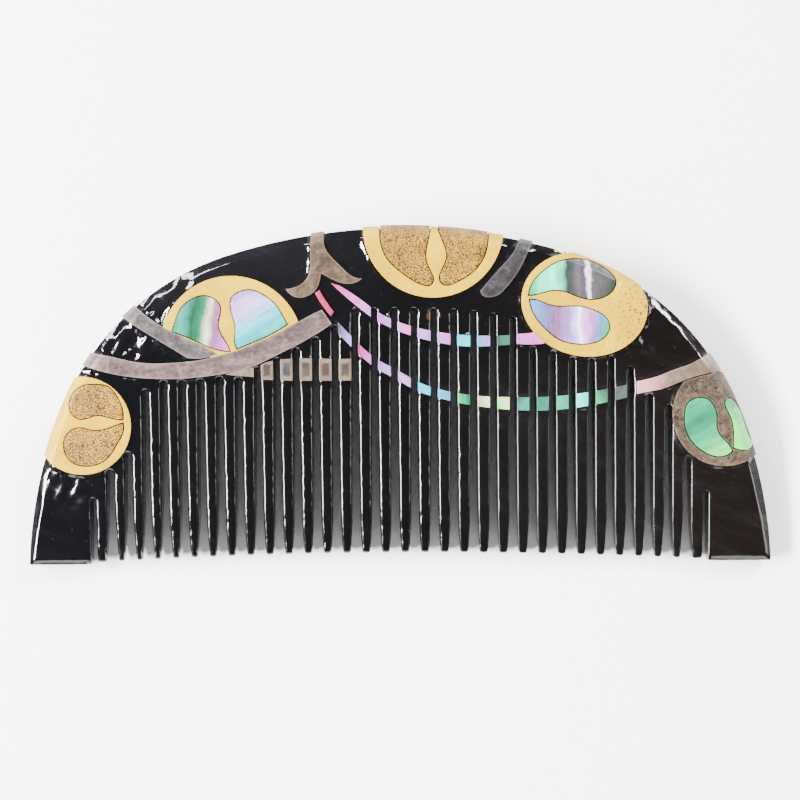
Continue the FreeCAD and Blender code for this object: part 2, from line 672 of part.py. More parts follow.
lay_disc("disc_top", round_sketch("disc_top", CENTRE["disc_top"], "disc_top"), TOP_BEANS,
         low_layer, high_layer)
lay_disc("disc_upper_left", round_sketch("disc_upper_left", CENTRE["disc_upper_left"], "disc_upper_left"),
         UPPER_LEFT_BEANS, low_layer, high_layer, [long_cover, short_cover], gold_side)
lay_disc("disc_lower_left", round_sketch("disc_lower_left", CENTRE["disc_lower_left"], "disc_lower_left"),
         LOWER_LEFT_BEANS, low_layer, high_layer)
lay_disc("disc_right", right_disc, RIGHT_BEANS, low_layer, high_layer)
lay_disc("medallion", round_sketch("medallion", CENTRE["medallion"], "disc_medallion"),
         MEDALLION_BEANS, low_layer, high_layer, [band_cover])

for tile, tile_runs in STRAND_ENDS.items():
    lay(tile, tile_runs, high_layer, [long_cover, right_cover])
tile_row("upper_strand_tile", UPPER_TOP, UPPER_LOW, (15, 22), 2, high_layer)
tile_row("lower_strand_tile", LOWER_TOP, LOWER_LOW, (13, 28), 2, high_layer)
tile_row("pewter_square", LINKS_TOP, LINKS_LOW, (9, 14), 1, low_layer, [long_cover])

for piece in pieces:
    if len(piece.Shape.Solids) != 1:
        raise RuntimeError(piece.Label + " is not one solid")
    piece.Shape.exportStep("parts/%s.step" % piece.Label)
print(len(pieces), "pieces written")
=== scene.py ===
import bisect
import math

import bmesh
import bpy
import numpy as np
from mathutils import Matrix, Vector, noise
from mathutils.bvhtree import BVHTree
from mathutils.geometry import delaunay_2d_cdt
from mathutils.kdtree import KDTree


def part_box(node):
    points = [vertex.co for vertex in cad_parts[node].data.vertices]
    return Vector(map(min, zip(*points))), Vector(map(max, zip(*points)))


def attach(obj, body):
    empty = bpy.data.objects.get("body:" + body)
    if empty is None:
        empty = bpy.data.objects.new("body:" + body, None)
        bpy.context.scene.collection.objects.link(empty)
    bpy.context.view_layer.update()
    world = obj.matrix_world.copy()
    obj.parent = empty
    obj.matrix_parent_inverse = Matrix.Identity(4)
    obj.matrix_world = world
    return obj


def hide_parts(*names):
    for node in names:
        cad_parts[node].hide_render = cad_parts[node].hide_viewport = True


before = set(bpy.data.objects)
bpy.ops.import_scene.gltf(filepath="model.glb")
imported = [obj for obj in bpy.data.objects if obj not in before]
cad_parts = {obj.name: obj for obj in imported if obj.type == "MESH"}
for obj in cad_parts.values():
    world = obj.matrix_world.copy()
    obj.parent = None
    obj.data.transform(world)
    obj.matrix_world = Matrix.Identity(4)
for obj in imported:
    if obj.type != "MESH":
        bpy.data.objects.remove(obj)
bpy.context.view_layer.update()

MM = 0.001
HEIGHT = 44.8                              # of the board, from the guard ends to the spine, mm
SHELL_RISE = 0.42                          # the raised pieces stand this far off the lacquer, mm
Y_SHIFT = -(HEIGHT + SHELL_RISE) / 2      # drawing height 0 (guard ends) in the row's frame, mm


# ---------------------------------------------------------------- node helpers
class Nodes:
    """Small helper to build a material's node tree."""

    def __init__(self, name):
        self.material = bpy.data.materials.new(name)
        self.material.use_nodes = True
        self.tree = self.material.node_tree
        self.shader = next(n for n in self.tree.nodes if n.type == "BSDF_PRINCIPLED")
        coords = self.tree.nodes.new("ShaderNodeTexCoord")
        self.place = coords.outputs["Object"]

    def add(self, kind, inputs=None, **settings):
        node = self.tree.nodes.new(kind)
        for key, value in settings.items():
            setattr(node, key, value)
        for key, value in (inputs or {}).items():
            self.plug(node.inputs[key], value)
        return node

    def plug(self, socket, value):
        if isinstance(value, bpy.types.NodeSocket):
            self.tree.links.new(value, socket)
        else:
            socket.default_value = value

    def noise(self, scale, detail=4.0, rough=0.55, place=None, distortion=0.0):
        return self.add("ShaderNodeTexNoise", {
            "Vector": place or self.place, "Scale": scale, "Detail": detail,
            "Roughness": rough, "Distortion": distortion,
        }).outputs["Fac"]

    def ramp(self, factor, stops):
        node = self.add("ShaderNodeValToRGB", {"Fac": factor})
        elements = node.color_ramp.elements
        while len(elements) < len(stops):
            elements.new(0.5)
        for element, (position, colour) in zip(elements, stops):
            element.position = position
            red_green_blue = colour if isinstance(colour, tuple) else (colour,) * 3
            element.color = (*red_green_blue, 1.0)
        return node.outputs["Color"]

    def math(self, operation, a, b=0.0, c=None):
        node = self.add("ShaderNodeMath", operation=operation)
        self.plug(node.inputs[0], a)
        self.plug(node.inputs[1], b)
        if c is not None:
            self.plug(node.inputs[2], c)
        return node.outputs[0]

    def mix(self, factor, a, b, blend="MIX"):
        node = self.add("ShaderNodeMix", data_type="RGBA", blend_type=blend)
        self.plug(node.inputs["Factor"], factor)
        for socket, value in zip((node.inputs[6], node.inputs[7]), (a, b)):
            if isinstance(value, tuple):
                value = (*value, 1.0)
            self.plug(socket, value)
        return node.outputs[2]

    def bump(self, height, distance, strength, normal=None):
        inputs = {"Height": height, "Distance": distance, "Strength": strength}
        if normal is not None:
            inputs["Normal"] = normal
        return self.add("ShaderNodeBump", inputs).outputs["Normal"]

    def split(self):
        return self.add("ShaderNodeSeparateXYZ", {"Vector": self.place}).outputs

    def blob(self, x, y, radius):
        """1 at a place on the front (drawing millimetres), fading to 0 over a radius."""
        spot = (x * MM, (y + Y_SHIFT) * MM, 0.0)
        flat = self.add("ShaderNodeVectorMath", {0: self.place, 1: (1.0, 1.0, 0.0)}, operation="MULTIPLY")
        away = self.add("ShaderNodeVectorMath", {0: flat.outputs[0], 1: spot}, operation="DISTANCE")
        uneven = self.math("MULTIPLY_ADD", self.noise(900.0), 1.1, 0.45)
        reach = self.math("MULTIPLY", uneven, radius * MM)
        return self.ramp(self.math("DIVIDE", away.outputs["Value"], reach), [(0.75, 1.0), (1.0, 0.0)])

    def worn_edge(self, radius, low=0.02, high=0.20):
        """1 near the piece's edges, 0 on its open faces."""
        soft = self.add("ShaderNodeBevel", {"Radius": radius * MM}, samples=4)
        true = self.add("ShaderNodeNewGeometry").outputs["True Normal"]
        dot = self.add("ShaderNodeVectorMath", {0: soft.outputs[0], 1: true}, operation="DOT_PRODUCT")
        return self.ramp(self.math("SUBTRACT", 1.0, dot.outputs["Value"]), [(low, 0.0), (high, 1.0)])

    def stretched(self, angle, along, across):
        """Coordinates turned in the plane of the front and stretched, for streaks along an angle."""
        node = self.add("ShaderNodeMapping", {"Vector": self.place})
        node.vector_type = "TEXTURE"
        node.inputs["Rotation"].default_value = (0.0, 0.0, math.radians(angle))
        node.inputs["Scale"].default_value = (along, across, 1.0)
        return node.outputs["Vector"]

    def finish(self, **inputs):
        for key, value in inputs.items():
            self.plug(self.shader.inputs[key.replace("_", " ")], value)
        return self.material


# ---------------------------------------------------------------- materials
WORN = ((4.6, 33.2, 1.0),)                 # places with worn lacquer: x, y, radius


def lacquer():
    """Black lacquer, browner at the right, with dust, scratches and worn spots, and with painted light: bluer
    and lighter at the left, and a painted sheen over the upper left.
    """
    n = Nodes("black_lacquer")
    place = n.split()
    across = n.math("MULTIPLY_ADD", place["X"], 9.0, 0.5)
    # Partly painted light: the bluer, lighter black at the left stands for the cool lamplight there. The
    # browner black at the right is the lacquer's own tone.
    tone = n.ramp(across, [(0.1, (0.0013, 0.0013, 0.0019)), (0.5, (0.0009, 0.0009, 0.0011)),
                           (0.9, (0.0024, 0.0016, 0.0013))])
    height = n.math("MULTIPLY_ADD", place["Y"], 40.0, 0.05)
    # Painted sheen: the upper left of the face is lifted to a lighter blue-black, broken up by noise, where
    # the lamps light it.
    painted_sheen = n.math("MULTIPLY", n.ramp(height, [(0.25, 0.0), (0.85, 1.0)]),
                  n.ramp(n.noise(70.0, 3.0), [(0.35, 0.3), (0.7, 1.0)]))
    painted_sheen = n.math("MULTIPLY", painted_sheen, n.ramp(across, [(0.30, 1.0), (0.50, 0.15)]))
    colour = n.mix(painted_sheen, tone, (0.0065, 0.0062, 0.0082))
    dust = n.ramp(n.noise(2600.0, 3.0), [(0.66, 0.0), (0.78, 1.0)])
    colour = n.mix(n.math("MULTIPLY", dust, 0.5), colour, (0.030, 0.026, 0.024))
    for x, y, radius in WORN:
        colour = n.mix(n.math("MULTIPLY", n.blob(x, y, radius), 0.7), colour, (0.040, 0.022, 0.010))
    scratch = n.noise(60.0, 4.0, 0.7, n.stretched(70.0, 0.12, 0.9))
    rough = n.math("MULTIPLY_ADD", n.ramp(scratch, [(0.45, 0.0), (0.75, 1.0)]), 0.12, 0.06)
    worn = n.math("MULTIPLY", n.ramp(across, [(0.50, 0.25), (0.66, 1.0)]),
                  n.ramp(height, [(0.12, 1.0), (0.40, 0.15)]))
    rough = n.math("MULTIPLY_ADD", worn, 0.13, rough)
    wave = n.bump(n.noise(330.0, 2.0), 0.00012, 0.6)
    fine = n.bump(n.noise(1700.0, 2.0), 0.00002, 0.5, wave)
    return n.finish(Base_Color=colour, Roughness=rough, IOR=1.62, Normal=fine)


def gold():
    """Smooth pale gold with small dark pores, which crowd the right half of the right disc."""
    n = Nodes("gold_leaf")
    tone = n.ramp(n.noise(240.0, 5.0), [(0.25, (0.33, 0.190, 0.0)), (0.5, (0.42, 0.258, 0.0)),
                                        (0.8, (0.50, 0.325, 0.0))])
    low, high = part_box("disc_right")
    start = n.math("SUBTRACT", n.split()["X"], low[0] + 0.55 * (high[0] - low[0]))
    crowd = n.math("MULTIPLY", start, 2.6 / (high[0] - low[0]))
    crowd = n.math("MULTIPLY", n.ramp(crowd, [(0.0, 0.0), (1.0, 1.0)]), 0.105)
    pores = n.math("ADD", n.noise(3300.0, 2.0, 0.7), crowd)
    speck = n.ramp(pores, [(0.655, 0.0), (0.70, 1.0)])
    tone = n.mix(speck, tone, (0.10, 0.055, 0.012))
    tone = n.mix(n.math("MULTIPLY", n.worn_edge(0.22), 0.55), tone, (0.20, 0.11, 0.014))
    rough = n.math("MULTIPLY_ADD", n.noise(900.0), 0.25, 0.32)
    grain = n.bump(n.noise(3300.0, 2.0, 0.7), 0.00004, 0.5, n.bump(n.noise(420.0, 3.0), 0.00008, 0.4))
    n.shader.inputs["Specular IOR Level"].default_value = 0.12
    return n.finish(Base_Color=tone, Metallic=0.1, Roughness=rough, Normal=grain)


def sprinkled():
    """Gold powder sprinkled on brown lacquer."""
    n = Nodes("sprinkled_gold")
    cells = n.add("ShaderNodeTexVoronoi", {"Vector": n.place, "Scale": 5600.0, "Randomness": 1.0})
    grain = n.ramp(cells.outputs["Distance"], [(0.15, (0.50, 0.29, 0.02)), (0.42, (0.21, 0.11, 0.008)),
                                               (0.75, (0.045, 0.021, 0.003))])
    cloud = n.ramp(n.noise(420.0, 4.0), [(0.3, (0.62, 0.55, 0.50)), (0.7, (1.15, 1.12, 1.05))])
    grain = n.mix(1.0, grain, cloud, "MULTIPLY")
    height = n.bump(n.math("SUBTRACT", 1.0, cells.outputs["Distance"]), 0.00006, 0.9)
    n.shader.inputs["Specular IOR Level"].default_value = 0.25
    return n.finish(Base_Color=grain, Metallic=0.1, Roughness=0.45, Normal=height)


def pewter(name, dark, middle, light, angle=0.0, edge=0.55, pits=0.0):
    """Old dull metal: mottled, brushed along an angle, paler along its edges, pitted where it is eaten."""
    n = Nodes(name)
    fine = n.math("MULTIPLY_ADD", n.noise(1400.0, 4.0, 0.7), 0.35,
                  n.math("MULTIPLY", n.noise(300.0, 3.0, 0.6, n.stretched(angle, 3.0, 0.35)), 0.25))
    mottle = n.math("MULTIPLY_ADD", n.noise(420.0, 6.0, 0.70, distortion=0.8), 0.4, fine)
    tone = n.ramp(mottle, [(0.41, dark), (0.50, middle), (0.58, light)])
    eaten = n.ramp(n.noise(700.0, 5.0, 0.7, distortion=1.2),
                   [(0.62 - 0.12 * pits, 0.0), (0.70 - 0.10 * pits, 1.0)])
    tone = n.mix(n.math("MULTIPLY", eaten, 0.35 + 0.5 * pits), tone, tuple(c * 0.35 for c in dark))
    rubbed = n.math("MULTIPLY", n.worn_edge(0.40, 0.004, 0.06), edge)
    tone = n.mix(rubbed, tone, tuple(c * 1.6 for c in light))
    rough = n.math("MULTIPLY_ADD", n.noise(900.0), 0.30, 0.34)
    relief = n.bump(mottle, 0.00012, 0.5, n.bump(n.noise(1900.0, 4.0), 0.00004, 0.6))
    relief = n.bump(n.math("SUBTRACT", 1.0, eaten), 0.00010, 0.3 + 0.5 * pits, relief)
    n.shader.inputs["Specular IOR Level"].default_value = 0.3
    return n.finish(Base_Color=tone, Metallic=0.25, Roughness=rough, Normal=relief)


# Dark, middle and light tones of the pewter pieces.
BROWN = ((0.026, 0.017, 0.011), (0.056, 0.036, 0.022), (0.095, 0.064, 0.042))
PINKISH = ((0.036, 0.024, 0.024), (0.072, 0.046, 0.043), (0.120, 0.085, 0.078))
GREY = ((0.024, 0.020, 0.020), (0.050, 0.041, 0.041), (0.095, 0.080, 0.078))
DARK = ((0.008, 0.007, 0.008), (0.016, 0.014, 0.015), (0.036, 0.033, 0.036))
PALE = ((0.060, 0.038, 0.026), (0.105, 0.073, 0.050), (0.160, 0.120, 0.092))


def square_pewter(node, centre):
    """A pewter square with a pale frame and a darker middle."""
    n = Nodes(node + "_pewter")
    low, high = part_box(node)
    place = n.split()
    away = []
    for i, axis in enumerate("XY"):
        offset = n.math("SUBTRACT", place[axis], (low[i] + high[i]) / 2)
        away.append(n.math("ABSOLUTE", n.math("MULTIPLY", offset, 2 / (high[i] - low[i]))))
    wander = n.math("MULTIPLY_ADD", n.noise(1500.0, 3.0), 0.5, -0.25)
    reach = n.math("ADD", n.math("MAXIMUM", *away), wander)
    frame_tone = n.ramp(n.noise(600.0, 5.0), [(0.3, (0.075, 0.048, 0.033)), (0.7, (0.135, 0.098, 0.070))])
    patches = n.ramp(n.noise(800.0, 5.0), [(0.35, 0.0), (0.65, 1.0)])
    inner = n.mix(patches, centre, tuple(c * 1.9 for c in centre))
    tone = n.mix(n.ramp(reach, [(0.50, 0.0), (0.68, 1.0)]), inner, frame_tone)
    relief = n.bump(n.noise(1700.0, 4.0), 0.00006, 0.7)
    return n.finish(Base_Color=tone, Metallic=0.25, Roughness=0.42, Normal=relief)


SHELL_COLOURS = {
    "deep_green": (0.006, 0.040, 0.020), "green": (0.004, 0.100, 0.050), "teal": (0.020, 0.088, 0.066),
    "light_teal": (0.010, 0.190, 0.140), "mint": (0.010, 0.215, 0.090), "pale_green": (0.070, 0.460, 0.075),
    "aqua": (0.010, 0.330, 0.400), "ice": (0.040, 0.640, 0.380), "cyan": (0.010, 0.235, 0.350),
    "blue": (0.070, 0.080, 0.190), "sky": (0.060, 0.150, 0.270), "lavender": (0.190, 0.125, 0.330),
    "lilac": (0.270, 0.120, 0.330), "pink_lilac": (0.290, 0.075, 0.290), "pink": (0.420, 0.080, 0.300),
    "pale_lilac": (0.340, 0.230, 0.480), "mauve": (0.150, 0.062, 0.130),
    "rose": (0.215, 0.012, 0.065), "coral": (0.240, 0.018, 0.036), "cream": (0.260, 0.310, 0.140),
    "ivory": (0.360, 0.390, 0.230), "white": (0.600, 0.550, 0.640), "silver": (0.046, 0.043, 0.045),
    "smoke": (0.016, 0.023, 0.019), "grey_green": (0.023, 0.046, 0.037),
    "grey_lavender": (0.046, 0.031, 0.054),
}


def shell(node, stops, angle, fine=1.0):
    """Polished shell whose colour runs along an angle through the piece, with growth lines across it."""
    n = Nodes(node + "_shell")
    low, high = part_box(node)
    turn = (math.cos(math.radians(angle)), math.sin(math.radians(angle)), 0.0)
    reach = sum(abs(turn[i]) * (high[i] - low[i]) for i in (0, 1))
    middle = tuple((low[i] + high[i]) / 2 for i in range(3))
    offset = n.add("ShaderNodeVectorMath", {0: n.place, 1: middle}, operation="SUBTRACT").outputs[0]
    along = n.add("ShaderNodeVectorMath", {0: offset, 1: turn}, operation="DOT_PRODUCT").outputs["Value"]
    along = n.math("MULTIPLY_ADD", along, 1.0 / reach, 0.5)
    along = n.math("ADD", along, n.math("MULTIPLY_ADD", n.noise(260.0, 3.0), 0.22, -0.11))
    tone = n.ramp(along, [(place, SHELL_COLOURS[colour]) for place, colour in stops])
    lines = n.noise(1100.0 * fine, 4.0, 0.7, n.stretched(angle + 90.0, 9.0, 1.0))
    shade = n.ramp(lines, [(0.30, 0.66), (0.50, 1.0), (0.72, 1.30)])
    tone = n.mix(1.0, tone, shade, "MULTIPLY")
    cloud = n.ramp(n.noise(700.0, 4.0), [(0.35, (0.82, 0.90, 0.95)), (0.65, (1.12, 1.05, 1.02))])
    tone = n.mix(1.0, tone, cloud, "MULTIPLY")
    relief = n.bump(lines, 0.00003, 0.4)
    n.shader.inputs["Specular IOR Level"].default_value = 0.3
    return n.finish(Base_Color=tone, Roughness=0.34, Normal=relief)


def band_look():
    """The right-hand band: pale pink at its left end, brown-grey towards the rim."""
    n = Nodes("band_pewter")
    low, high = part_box("band_right")
    along = n.math("MULTIPLY", n.math("SUBTRACT", n.split()["X"], low[0]), 1 / (high[0] - low[0]))
    along = n.math("ADD", along, n.math("MULTIPLY_ADD", n.noise(500.0, 4.0), 0.2, -0.1))
    mottle = n.noise(420.0, 6.0, 0.68)
    metal = n.ramp(mottle, [(0.36, PALE[0]), (0.50, PALE[1]), (0.64, PALE[2])])
    tone = n.mix(n.ramp(along, [(0.12, 0.0), (0.38, 1.0)]), (0.46, 0.19, 0.20), metal)
    tone = n.mix(n.math("MULTIPLY", n.worn_edge(0.2), 0.4), tone, (0.30, 0.24, 0.18))
    relief = n.bump(mottle, 0.00010, 0.5)
    return n.finish(Base_Color=tone, Metallic=0.2, Roughness=0.40, Normal=relief)


# Each run of shell colours is a list of places from 0 to 1 along the piece, each with its colour.
UPPER_STRAND = [
    [(0.0, "rose"), (0.45, "pink"), (1.0, "lilac")],
    [(0.2, "pink_lilac"), (0.8, "lilac")], [(0.2, "lilac"), (0.8, "pink")],
    [(0.2, "lavender"), (0.8, "lilac")], [(0.2, "lilac"), (0.8, "pink_lilac")],
    [(0.2, "cyan"), (0.8, "aqua")], [(0.2, "sky"), (0.8, "lavender")],
    [(0.2, "grey_green"), (0.8, "teal")], [(0.1, "pink_lilac"), (0.7, "pink")],
]
LOWER_STRAND = [
    [(0.1, "coral"), (0.8, "rose")], [(0.1, "grey_lavender"), (0.8, "lavender")],
    [(0.1, "rose"), (0.8, "pink_lilac")], [(0.2, "lavender"), (0.8, "lilac")],
    [(0.2, "lilac"), (0.8, "lavender")], [(0.2, "cyan"), (0.8, "aqua")],
    [(0.1, "cyan"), (0.8, "sky")], [(0.1, "mint"), (0.8, "green")],
    [(0.1, "cream"), (0.8, "ivory")], [(0.1, "pale_green"), (0.7, "ivory")],
    [(0.1, "grey_green"), (0.8, "light_teal")], [(0.1, "green"), (0.8, "teal")],
    [(0.1, "mint"), (0.8, "light_teal")], [(0.1, "ice"), (0.8, "aqua")],
    [(0.1, "mint"), (0.8, "grey_green")], [(0.1, "silver"), (0.8, "grey_green")],
]
SQUARE_CENTRES = (
    (0.020, 0.011, 0.008), (0.017, 0.018, 0.024), (0.024, 0.017, 0.013), (0.021, 0.013, 0.011),
    (0.020, 0.014, 0.011),
)
# The beans of shell: their run of colours and its angle in degrees.
BEANS = {
    "bean_upper_left_left": ([
        (0.03, "green"), (0.20, "light_teal"), (0.36, "deep_green"), (0.50, "green"), (0.60, "ivory"),
        (0.70, "mauve"), (0.90, "pink_lilac"),
    ], -8.0),
    "bean_upper_left_right": ([
        (0.08, "lavender"), (0.30, "pale_lilac"), (0.52, "aqua"), (0.75, "light_teal"), (0.95, "aqua"),
    ], -62.0),
    "bean_right_upper": ([
        (0.02, "mint"), (0.28, "ice"), (0.42, "smoke"), (0.58, "silver"), (0.66, "grey_lavender"),
        (0.70, "white"), (0.74, "silver"), (1.0, "smoke"),
    ], 0.0),
    "bean_right_lower": ([
        (0.02, "sky"), (0.20, "blue"), (0.36, "mauve"), (0.52, "lavender"), (0.59, "pale_lilac"),
        (0.63, "white"), (0.67, "pale_lilac"), (0.78, "pink_lilac"), (0.88, "sky"), (0.97, "mint"),
    ], 0.0),
    "bean_medallion_left": ([(0.05, "mint"), (0.40, "green"), (0.65, "mint"), (0.95, "pale_green")], -60.0),
    "bean_medallion_right": ([(0.10, "mint"), (0.50, "pale_green"), (0.90, "pale_green")], -70.0),
}


def looks():
    """The material of each node."""
    found = {"comb_body": lacquer(), "band_right": band_look()}
    plain_gold, powder = gold(), sprinkled()
    for node in ("disc_top", "disc_upper_left", "disc_lower_left", "disc_right"):
        found[node] = plain_gold
    for node in ("bean_top_left", "bean_top_right", "bean_lower_left_upper", "bean_lower_left_lower"):
        found[node] = powder
    found["ribbon_long"] = pewter("long_ribbon_pewter", *PINKISH, angle=12.0)
    found["ribbon_short"] = pewter("short_ribbon_pewter", *GREY, angle=-32.0)
    found["ribbon_wedge"] = pewter("wedge_pewter", *PALE, edge=0.3)
    found["stem_forked"] = pewter("stem_pewter", *BROWN, angle=80.0, edge=0.4)
    found["leaf_right"] = pewter("leaf_pewter", *DARK, angle=60.0, edge=0.7)
    found["medallion"] = pewter("medallion_pewter", *BROWN, edge=0.35, pits=1.0)
    for i, centre in enumerate(SQUARE_CENTRES):
        node = f"pewter_square_{i + 1:02d}"
        found[node] = square_pewter(node, centre)
    for node, (stops, angle) in BEANS.items():
        found[node] = shell(node, stops, angle)
    for strand, colours in (("upper", UPPER_STRAND), ("lower", LOWER_STRAND)):
        for i, stops in enumerate(colours):
            node = f"{strand}_strand_tile_{i + 1:02d}"
            found[node] = shell(node, stops, -30.0 + 17.0 * (i % 5), 1.5)
    return found


LOOKS = looks()


# ---------------------------------------------------------------- shape of the board, millimetres
CROWN, CROWN_HALF = 76.0, 22.97            # radius and half width of the arc over the spine
SHOULDER, SIDE = 36.0, 58.0                # radii of the arcs down to the guards
HALF = 50.0                                # half of the length
SPINE_THICK, END_THICK = 8.0, 3.2
BEVEL, NARROWER, NARROW_BELOW = 1.2, 0.55, 9.0    # rim bevel, and how much narrower it is below a height
GAPS = 33                                  # saw cuts
PITCH_SHIFT, PITCH, PITCH_SKEW, PITCH_EASE = -0.61, 2.64, 0.0022, 0.000255
GAP_ROOT, GAP_NECK, GAP_MOUTH = 0.74, 1.12, 1.64  # width of the cuts from their tops to the tips
NECK, ARCH_WIDTH, ARCH_RISE = 5.4, 41.9, 34.1     # height of the necks; the arched line of the cuts' tops
ARCH_POWER = 2.45                          # roundness of the arched root line
TIP_THIN, TIP_RUN, TIP_RISE = 0.85, 7.5, 1.32
TIP_START = 0.2                            # the row of tips starts this far above the guard ends
GUARD_CORNER = ((0.22, 0.0), (0.06, 0.07), (0.0, 0.3), (0.0, 0.9))      # out from the cut, up from the end
TOOTH_CORNER = ((0.16, 0.05), (0.02, 0.22))       # the same for a tooth's tip
EDGE, CRISP_EDGE = 0.34, 0.13              # radius along the saw cuts, at the left and at the right
CRISP_FROM, CRISP_OVER = 4.0, 12.0         # the radius shrinks from this X, over this length
GENTLER = 0.32                             # how much flatter the bare rim bevel is than 45 degrees
LIP, LIP_LIMIT, LIP_REACH = 0.19, 0.27, 0.36      # the raised edge of the lacquer round each inlay
SAG, SAG_REACH = 0.05, 0.95                # how the face dips towards each saw cut
SEAT = 0.05                                # bare lacquer starts this far outside an inlay
CREASE_WIDTH, SOFT_WIDTH = 0.55, 0.07      # rounding of the inlays: at the fold over the rim, and all round
FOOT_STEP, LEVEL_STEP, LOWEST_LEVEL = 0.4, 0.55, 1.6      # spacing of the outline's points
CLOSE_STEP = 0.04                          # spacing of the points that distances are measured to
NEAR_GRID, FAR_GRID, BACK_GRID = 0.24, 0.5, 0.7   # spacing of the faces' grids
NEAR_INLAY = 1.1                           # the fine grid reaches this far from the inlays
# Distances inside the outline of the rows of points that carry the bevel and the rounded edges.
RIM_ROWS = (0.06, 0.3, 0.6, 0.9, 1.05, 1.15, 1.25, 1.4)
CUT_ROWS = (0.02, 0.06, 0.12, 0.20, 0.28, 0.36)
CLEAR_OF_CUT, CLEAR_OF_RIM = 0.40, 1.65    # the grids stay this far from the rows of points
SCAN = 0.02                                # height of the scan lines of the inside test


def front_height(y):
    """Thickness of the board: it tapers evenly from the spine to the guard ends."""
    return END_THICK + (SPINE_THICK - END_THICK) / HEIGHT * y


def gap_middle(k):
    """X of saw cut k, counted from the left. The steps are uneven, as in hand work."""
    n = k - (GAPS - 1) / 2
    return PITCH_SHIFT + PITCH * n + PITCH_SKEW * n ** 2 - PITCH_EASE * n ** 3


def gap_width(y):
    """The cuts widen slowly down to the neck of the teeth, then quickly to the tips."""
    if y > NECK:
        return GAP_ROOT + (GAP_NECK - GAP_ROOT) * max((ARCH_RISE - y) / (ARCH_RISE - NECK), 0.0)
    return GAP_NECK + (GAP_MOUTH - GAP_NECK) * (NECK - y) / NECK


def cut_width(k, y):
    """The two cuts beside the guards keep their root width all the way down."""
    return GAP_ROOT if k in (0, GAPS - 1) else gap_width(y)


def tip_level(x):
    """Height of the shallow arch that the tooth tips stand on."""
    left, right = gap_middle(0), gap_middle(GAPS - 1)
    half, rise = (right - left) / 2, TIP_RISE - TIP_START
    radius = (half ** 2 + rise ** 2) / (2 * rise)
    return TIP_RISE - radius + math.sqrt(radius ** 2 - (x - (left + right) / 2) ** 2)


def tip_beside(x):
    """Tip level at x, or at the nearest cut where x is past the row of teeth."""
    return tip_level(min(max(x, gap_middle(0)), gap_middle(GAPS - 1)))


def silhouette(step):
    """Points of the half-moon from the right foot over the spine to the left foot."""
    lean = math.asin(CROWN_HALF / CROWN)
    crown = Vector((0.0, HEIGHT - CROWN))
    shoulder = crown + Vector((math.sin(lean), math.cos(lean))) * (CROWN - SHOULDER)
    reach = SIDE - SHOULDER
    foot = Vector((HALF, 0.0)) - shoulder
    bend = math.acos((foot.length ** 2 + reach ** 2 - SIDE ** 2) / (2 * foot.length * reach))
    turn = math.atan2(foot.y, foot.x) - bend
    side = shoulder + Vector((math.cos(turn), math.sin(turn))) * reach
    start = math.asin(-side.y / SIDE)
    join = math.atan2(shoulder.y - side.y, shoulder.x - side.x)
    top = math.pi / 2 - lean
    arcs = ((side, SIDE, start, join), (shoulder, SHOULDER, join, top), (crown, CROWN, top, math.pi / 2))
    half = []
    for centre, radius, first, last in arcs:
        count = max(2, round(radius * (last - first) / step))
        for angle in np.linspace(first, last, count, endpoint=False):
            half.append(centre + Vector((math.cos(angle), math.sin(angle))) * radius)
    return half + [Vector((0.0, HEIGHT))] + [Vector((-p.x, p.y)) for p in reversed(half)]


def mesh_outline(nodes):
    """Points close together along the sharp edges of some CAD nodes, seen from above."""
    found = []
    for node in nodes:
        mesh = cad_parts[node].data
        points = np.empty(len(mesh.vertices) * 3)
        mesh.vertices.foreach_get("co", points)
        points = points.reshape(-1, 3) * 1000.0
        keys = [tuple(p) for p in np.round(points, 4)]
        edges = {}
        for face in mesh.polygons:
            corners = [keys[v] for v in face.vertices]
            for a, b in zip(corners, corners[1:] + corners[:1]):
                edges.setdefault(tuple(sorted((a, b))), []).append(face.normal.copy())
        for (a, b), normals in edges.items():
            if len(normals) == 2 and normals[0].dot(normals[1]) > 0.85:
                continue
            a, b = Vector(a), Vector(b)
            count = max(1, int((b - a).length / 0.12))
            found += [a.lerp(b, i / count).to_2d() for i in range(count + 1)]
    return found


def tree_of(points):
    tree = KDTree(len(points))
    for i, p in enumerate(points):
        tree.insert((p[0], p[1], 0.0), i)
    tree.balance()
    return tree


def distance(tree, x, y):
    return tree.find((x, y, 0.0))[2]


def cut_end(k, side):
    """Lower end of one side (-1 left, 1 right) of saw cut k: a guard's corner or a tooth's tip."""
    level, corner = tip_beside(gap_middle(k) + side), TOOTH_CORNER
    if (k, side) in ((0, -1), (GAPS - 1, 1)):
        level, corner = 0.0, GUARD_CORNER
    edge = gap_middle(k) + side * cut_width(k, level) / 2
    return [(edge + side * out, level + up) for out, up in corner]


